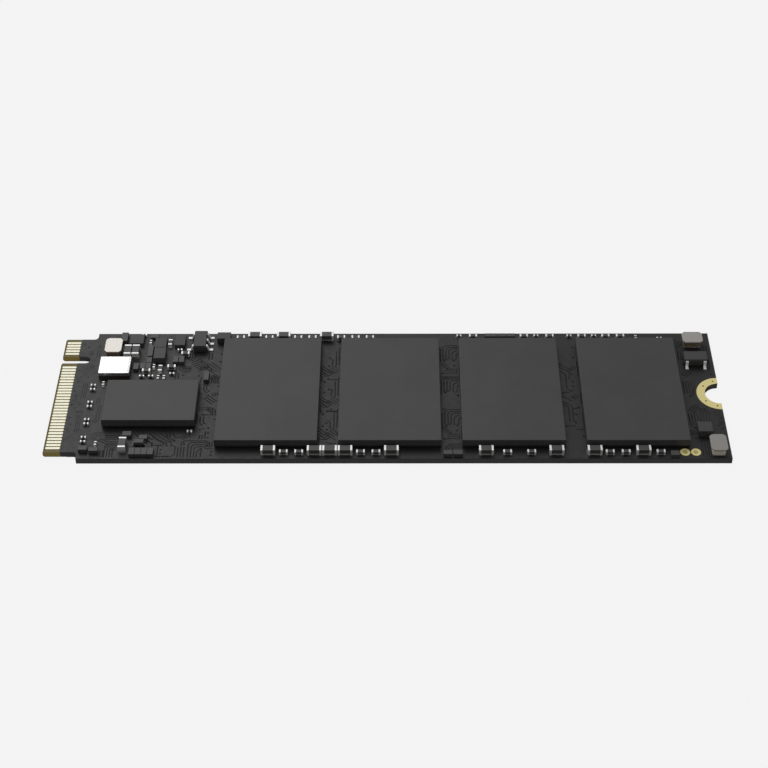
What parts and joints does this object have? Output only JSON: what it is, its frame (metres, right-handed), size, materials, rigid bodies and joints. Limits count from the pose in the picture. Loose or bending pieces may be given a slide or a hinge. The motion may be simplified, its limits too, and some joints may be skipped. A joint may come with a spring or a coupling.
{
  "type": "solid state drive",
  "caption": "Bare M.2 2280 solid state drive: thin card with a keyed gold edge connector, half-round screw notch, controller and flash packages on its top face.",
  "frame": {"origin": "centre of the underside of the card, midway between the leading edge of the contacts and the screw end, and on the card's centre line", "axes": "+X along the card from the edge connector to the screw notch, +Y across the card towards the key notch's side, +Z out of the component face"},
  "size_m": [0.08, 0.022, 0.0021],
  "materials": {
    "laminate": "bare glass-epoxy laminate, olive gold at the contacts, black with mask edges elsewhere",
    "solder_mask": "matt black solder mask with traces showing in relief",
    "gold": "gold plating, fine grain, satin",
    "mould": "matt dark grey epoxy mould compound",
    "substrate": "dark package substrate",
    "silicon": "ground silicon, hidden in the mould",
    "solder": "tin-silver-copper solder",
    "tin_plating": "bright matt tin plating",
    "chip_body": "dark chip ceramic, satin",
    "dark_ceramic": "dark alumina",
    "lid_metal": "bright metal lid, satin",
    "quartz": "quartz blank with electrodes, hidden under the lid",
    "ferrite": "pale ground ferrite flange",
    "winding": "resin-coated copper winding, bronze brown"
  },
  "bodies": {
    "root": {"chip_resistors": "chip_body", "circuit_board": "laminate", "configuration_memory": "mould", "controller_die": "silicon", "controller_mould": "mould", "controller_solder_balls": "solder", "controller_substrate": "substrate", "coupling_capacitor_bodies": "chip_body", "coupling_capacitor_terminals": "tin_plating", "edge_contacts_bottom": "gold", "edge_contacts_top": "gold", "flash_1_dies": "silicon", "flash_1_mould": "mould", "flash_1_solder_balls": "solder", "flash_1_substrate": "substrate", "flash_2_dies": "silicon", "flash_2_mould": "mould", "flash_2_solder_balls": "solder", "flash_2_substrate": "substrate", "flash_3_dies": "silicon", "flash_3_mould": "mould", "flash_3_solder_balls": "solder", "flash_3_substrate": "substrate", "flash_4_dies": "silicon", "flash_4_mould": "mould", "flash_4_solder_balls": "solder", "flash_4_substrate": "substrate", "inductor_1_core": "ferrite", "inductor_1_terminals": "tin_plating", "inductor_1_winding": "winding", "inductor_2_core": "ferrite", "inductor_2_terminals": "tin_plating", "inductor_2_winding": "winding", "inductor_3_core": "ferrite", "inductor_3_terminals": "tin_plating", "inductor_3_winding": "winding", "large_capacitor_bodies": "chip_body", "large_capacitor_terminals": "tin_plating", "load_switch_body": "mould", "load_switch_leads": "tin_plating", "logic_chips": "mould", "medium_capacitor_bodies": "chip_body", "medium_capacitor_terminals": "tin_plating", "mounting_land_bottom": "gold", "mounting_land_top": "gold", "oscillator_base": "dark_ceramic", "oscillator_crystal": "quartz", "oscillator_lid": "lid_metal", "power_management_chip": "mould", "regulator_body": "mould", "regulator_leads": "tin_plating", "small_capacitor_bodies": "chip_body", "small_capacitor_terminals": "tin_plating", "solder_joints": "solder", "solder_mask_bottom": "solder_mask", "solder_mask_top": "solder_mask", "supervisor_body": "mould", "supervisor_leads": "tin_plating", "test_pads": "gold"}
  },
  "joints": []
}
